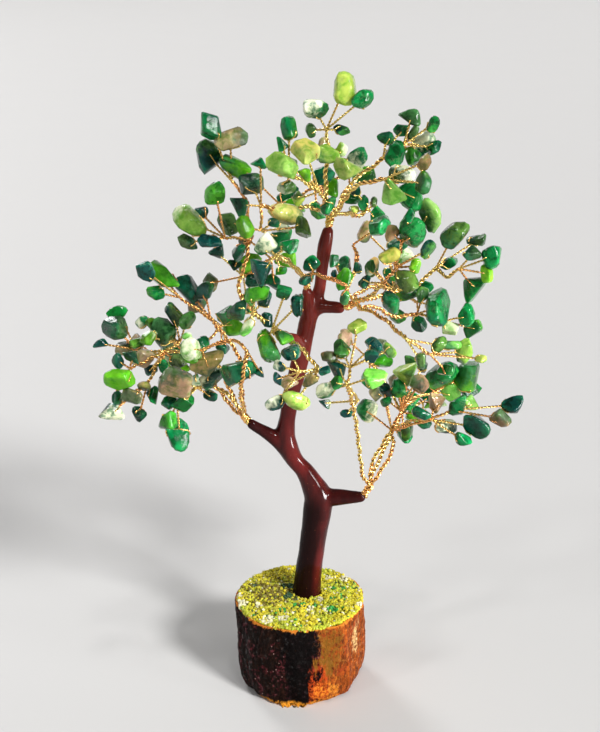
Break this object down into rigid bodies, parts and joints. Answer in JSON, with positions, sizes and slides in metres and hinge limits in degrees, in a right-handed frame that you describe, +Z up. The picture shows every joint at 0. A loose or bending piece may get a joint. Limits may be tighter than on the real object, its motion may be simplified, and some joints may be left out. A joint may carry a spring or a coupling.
{
  "type": "jade chip bonsai tree",
  "caption": "Tabletop wire tree with polished green stone chips on twisted wire boughs, a lacquered trunk and a bark-covered log slice base with a crushed stone cover.",
  "frame": {"origin": "centre of the log slice's flat underside", "axes": "+Z up the tree, -Y towards the side that the boughs face, +X to the right as seen from that side"},
  "size_m": [0.173, 0.0953, 0.2584],
  "materials": {
    "bark_wood": "varnished bark and pale end grain",
    "crushed_stone": "matt crushed grains",
    "lacquer": "glossy dark red-brown lacquer",
    "jade": "polished translucent stone",
    "wire": "drawn gold-coloured craft wire"
  },
  "bodies": {
    "root": {"log_base": "bark_wood", "ground_cover": "crushed_stone", "trunk": "lacquer", "bough_right_low_rise": "jade", "bough_right_low_fan": "jade", "bough_right_mid_low": "jade", "bough_right_mid_up": "jade", "bough_right_mid_high": "jade", "bough_crown_top": "jade", "bough_crown_left": "jade", "bough_crown_right": "jade", "bough_left_up_front": "jade", "bough_left_up_near": "jade", "bough_left_mid_gold": "jade", "bough_left_mid_tall": "jade", "bough_left_mid_front": "jade", "bough_left_low_near": "jade", "bough_left_low_far": "jade", "bough_left_low_arc": "jade", "bough_right_low_back": "jade", "bough_right_mid_back": "jade", "bough_crown_back": "jade", "bough_left_up_back": "jade", "bough_left_low_back": "jade"}
  },
  "joints": []
}
